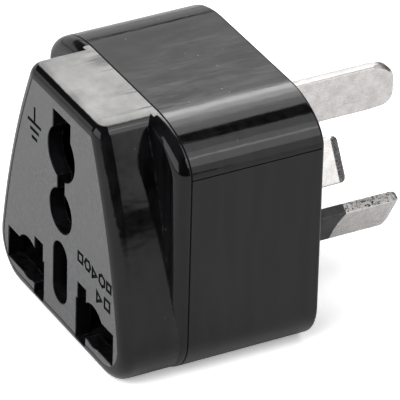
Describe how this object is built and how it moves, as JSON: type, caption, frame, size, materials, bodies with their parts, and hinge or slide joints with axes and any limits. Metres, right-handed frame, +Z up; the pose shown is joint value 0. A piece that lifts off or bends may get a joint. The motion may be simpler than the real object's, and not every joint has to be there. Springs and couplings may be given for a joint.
{
  "type": "universal travel adapter",
  "caption": "Black travel adapter with a multi-standard socket face in front and three flat plug blades, two of them sleeved, behind.",
  "frame": {"origin": "middle of the flat underside that the adapter stands on", "axes": "+X to the right across the socket face as a person looks at it, +Y from the socket face towards the plug blades, +Z up, with the earth blade uppermost"},
  "size_m": [0.0368, 0.0485, 0.0352],
  "materials": {
    "casing": "glossy moulded black, matt on the socket face",
    "carrier": "matt",
    "sleeve": "satin",
    "blade": "nickel-plated brass, lightly scuffed",
    "spring_brass": "plain rolled strip",
    "rivet": "plain",
    "screw": "zinc plated"
  },
  "bodies": {
    "casing": {"front_cover": "casing", "rear_housing": "casing", "contact_carrier": "carrier", "earth_blade": "blade", "active_blade": "blade", "neutral_blade": "blade", "active_sleeve": "sleeve", "neutral_sleeve": "sleeve", "earth_contact_plate": "spring_brass", "active_contact_plate": "spring_brass", "neutral_contact_plate": "spring_brass", "earth_rivet": "rivet", "active_rivet": "rivet", "neutral_rivet": "rivet", "case_screw_left": "screw", "case_screw_right": "screw"},
    "active_upper_spring": {"active_leaf_upper": "spring_brass"},
    "active_lower_spring": {"active_leaf_lower": "spring_brass"},
    "neutral_upper_spring": {"neutral_leaf_upper": "spring_brass"},
    "neutral_lower_spring": {"neutral_leaf_lower": "spring_brass"},
    "earth_left_spring": {"earth_leaf_left": "spring_brass"},
    "earth_right_spring": {"earth_leaf_right": "spring_brass"}
  },
  "joints": [
    {"name": "active_leaf_upper_flex", "type": "hinge", "parent": "casing", "child": "active_upper_spring", "pos_m": [0.0089, 0.0067, 0.00813], "axis": [-1, 0, 0], "range_deg": [0, 2.5], "stiffness_Nm_per_rad": 0.3},
    {"name": "active_leaf_lower_flex", "type": "hinge", "parent": "casing", "child": "active_lower_spring", "pos_m": [0.0089, 0.0067, 0.00248], "axis": [1, 0, 0], "range_deg": [0, 2.5], "stiffness_Nm_per_rad": 0.3},
    {"name": "neutral_leaf_upper_flex", "type": "hinge", "parent": "casing", "child": "neutral_upper_spring", "pos_m": [-0.0089, 0.0067, 0.00813], "axis": [-1, 0, 0], "range_deg": [0, 2.5], "stiffness_Nm_per_rad": 0.3},
    {"name": "neutral_leaf_lower_flex", "type": "hinge", "parent": "casing", "child": "neutral_lower_spring", "pos_m": [-0.0089, 0.0067, 0.00248], "axis": [1, 0, 0], "range_deg": [0, 2.5], "stiffness_Nm_per_rad": 0.3},
    {"name": "earth_leaf_left_flex", "type": "hinge", "parent": "casing", "child": "earth_left_spring", "pos_m": [-0.00332, 0.0067, 0.02752], "axis": [0, 0, -1], "range_deg": [0, 3.5], "stiffness_Nm_per_rad": 0.3},
    {"name": "earth_leaf_right_flex", "type": "hinge", "parent": "casing", "child": "earth_right_spring", "pos_m": [0.00332, 0.0067, 0.02752], "axis": [0, 0, 1], "range_deg": [0, 3.5], "stiffness_Nm_per_rad": 0.3}
  ]
}
